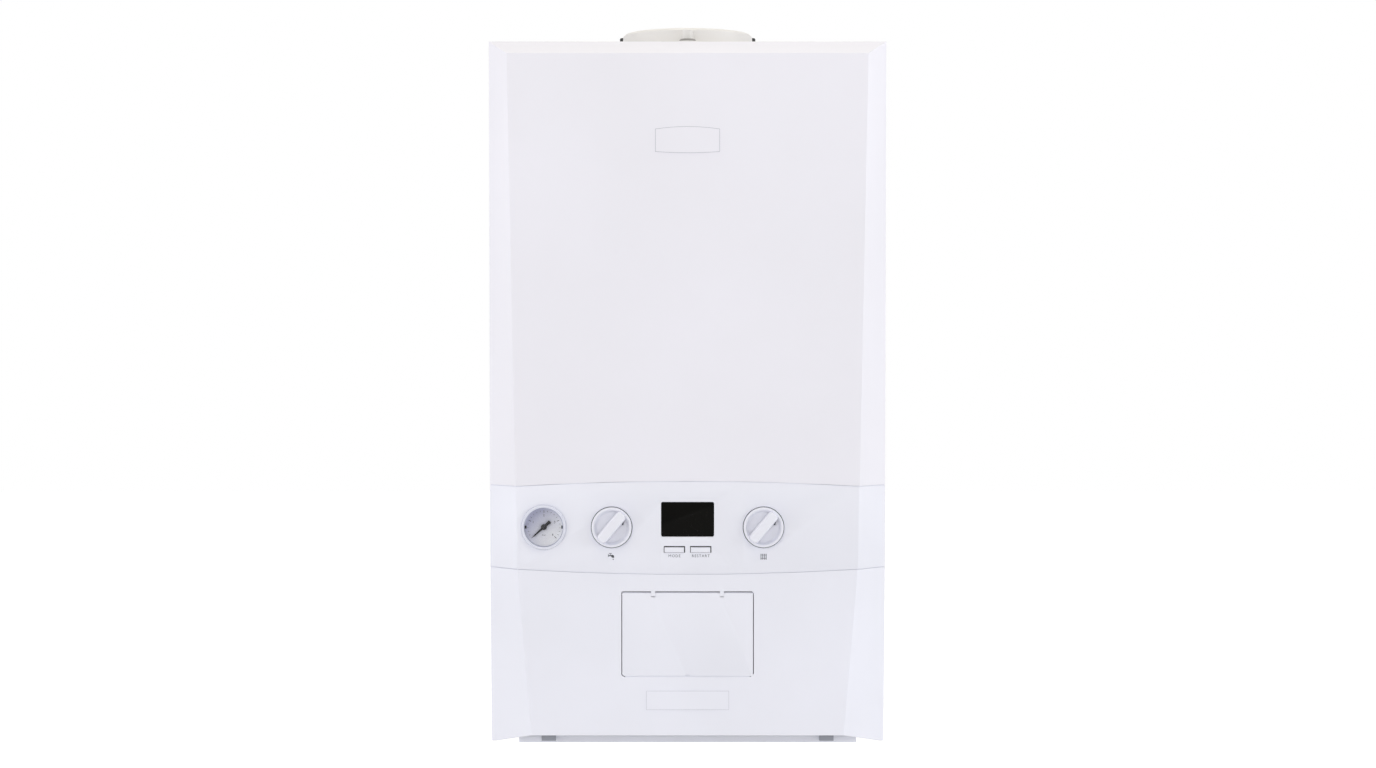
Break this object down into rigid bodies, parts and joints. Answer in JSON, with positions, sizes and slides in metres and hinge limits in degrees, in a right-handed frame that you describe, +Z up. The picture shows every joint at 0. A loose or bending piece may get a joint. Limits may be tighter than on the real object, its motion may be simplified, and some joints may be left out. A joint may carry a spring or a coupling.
{
  "type": "combi boiler",
  "caption": "Wall-hung gas combi boiler in a white casing, with a drop-down control pod, rotary knobs, gauge, display and top flue turret.",
  "frame": {"origin": "on the wall plane, at the middle of the wall bracket that the boiler hangs on", "axes": "+X to the right as seen from the front, +Y into the wall, so the front faces -Y, +Z up"},
  "size_m": [0.395, 0.287, 0.7203],
  "materials": {
    "white_steel": "white enamel, gloss",
    "white_plastic": "white, satin gloss",
    "grey_plastic": "light grey, matt",
    "black_plastic": "near black, matt",
    "black_gloss": "black, high gloss",
    "clear_plastic": "clear",
    "dial_face": "printed, matt",
    "turret_plastic": "warm off-white, satin",
    "galvanised_steel": "zinc coated",
    "cast_aluminium": "as cast",
    "steel": "stainless, satin",
    "copper": "copper tube, bright",
    "brass": "cast",
    "red_steel": "red paint",
    "red_plastic": "red",
    "circuit_board": "green resist",
    "ceramic": "glazed",
    "rubber": "matt"
  },
  "bodies": {
    "casing_and_works": {"wall_bracket": "galvanised_steel", "back_panel": "galvanised_steel", "left_side_panel": "white_steel", "right_side_panel": "white_steel", "top_panel": "white_steel", "bottom_panel": "galvanised_steel", "pod_hinge_rod": "steel", "flue_turret": "turret_plastic", "sampling_cap": "rubber", "turret_gasket": "rubber", "turret_screw_left": "black_plastic", "turret_screw_right": "black_plastic", "heat_exchanger": "cast_aluminium", "sump": "grey_plastic", "burner_manifold": "cast_aluminium", "burner": "steel", "ignition_electrode": "ceramic", "flue_duct": "steel", "fan_housing": "cast_aluminium", "venturi": "black_plastic", "gas_valve": "cast_aluminium", "condensate_trap": "grey_plastic", "expansion_vessel": "red_steel", "pump_volute": "brass", "pump_motor": "black_plastic", "plate_heat_exchanger": "steel", "diverter_body": "brass", "diverter_motor": "white_plastic", "relief_valve": "brass", "flow_pipe": "copper", "return_pipe": "copper", "gas_pipe": "copper", "hot_water_pipe": "copper", "cold_water_pipe": "copper", "heating_flow_tail": "copper", "heating_return_tail": "copper"},
    "front_panel": {"front_panel": "white_steel", "front_badge_plate": "white_plastic"},
    "control_pod": {"pod_housing": "grey_plastic", "control_board": "circuit_board", "control_fascia": "white_plastic", "lower_panel": "white_plastic", "lower_badge_plate": "white_plastic", "flap_hinge_pin": "steel", "display_lens": "black_gloss", "gauge_case": "white_plastic", "gauge_dial": "dial_face", "gauge_lens": "clear_plastic"},
    "programmer_flap": {"programmer_flap": "white_plastic"},
    "hot_water_knob": {"hot_water_knob": "white_plastic"},
    "heating_knob": {"heating_knob": "white_plastic"},
    "mode_button": {"mode_button": "white_plastic"},
    "restart_button": {"restart_button": "white_plastic"},
    "gauge_needle": {"gauge_needle": "black_plastic"},
    "left_latch": {"left_latch": "black_plastic"},
    "right_latch": {"right_latch": "black_plastic"},
    "fan_impeller": {"fan_impeller": "black_plastic"},
    "pump_impeller": {"pump_impeller": "black_plastic"},
    "diverter_spindle": {"diverter_spindle": "steel"},
    "relief_valve_knob": {"relief_valve_knob": "red_plastic"}
  },
  "joints": [
    {"name": "front_panel_lift_off", "type": "slide", "parent": "casing_and_works", "child": "front_panel", "axis": [0, -1, 0], "range_m": [0, 0.12]},
    {"name": "control_pod_hinge", "type": "hinge", "parent": "casing_and_works", "child": "control_pod", "pos_m": [0, -0.203, -0.6155], "axis": [1, 0, 0], "range_deg": [0, 90]},
    {"name": "programmer_flap_hinge", "type": "hinge", "parent": "control_pod", "child": "programmer_flap", "pos_m": [0, -0.2758, -0.4678], "axis": [-1, 0, 0], "range_deg": [0, 100]},
    {"name": "hot_water_knob_turn", "type": "hinge", "parent": "control_pod", "child": "hot_water_knob", "pos_m": [-0.075, -0.278, -0.4015], "axis": [0, 1, 0], "range_deg": [-175, 95]},
    {"name": "heating_knob_turn", "type": "hinge", "parent": "control_pod", "child": "heating_knob", "pos_m": [0.075, -0.278, -0.4015], "axis": [0, 1, 0], "range_deg": [-175, 95]},
    {"name": "mode_button_press", "type": "slide", "parent": "control_pod", "child": "mode_button", "axis": [0, 1, 0], "range_m": [0, 0.0015], "stiffness_N_per_m": 600},
    {"name": "restart_button_press", "type": "slide", "parent": "control_pod", "child": "restart_button", "axis": [0, 1, 0], "range_m": [0, 0.0015], "stiffness_N_per_m": 600},
    {"name": "gauge_needle_turn", "type": "hinge", "parent": "control_pod", "child": "gauge_needle", "pos_m": [-0.1421, -0.278, -0.4015], "axis": [0, 1, 0], "range_deg": [0, 264], "stiffness_Nm_per_rad": 0.002},
    {"name": "left_latch_pull", "type": "slide", "parent": "control_pod", "child": "left_latch", "axis": [0, 0, -1], "range_m": [0, 0.005], "stiffness_N_per_m": 500},
    {"name": "right_latch_pull", "type": "slide", "parent": "control_pod", "child": "right_latch", "axis": [0, 0, -1], "range_m": [0, 0.005], "stiffness_N_per_m": 500},
    {"name": "fan_spin", "type": "hinge", "parent": "casing_and_works", "child": "fan_impeller", "pos_m": [-0.119, -0.145, 0.0206], "axis": [0, 1, 0], "continuous": true},
    {"name": "pump_spin", "type": "hinge", "parent": "casing_and_works", "child": "pump_impeller", "pos_m": [0.105, -0.11, -0.525], "axis": [0, 1, 0], "continuous": true},
    {"name": "diverter_slide", "type": "slide", "parent": "casing_and_works", "child": "diverter_spindle", "axis": [0, 1, 0], "range_m": [0, 0.006]},
    {"name": "relief_valve_turn", "type": "hinge", "parent": "casing_and_works", "child": "relief_valve_knob", "pos_m": [0.17, -0.1, -0.525], "axis": [1, 0, 0], "range_deg": [0, 90]}
  ]
}
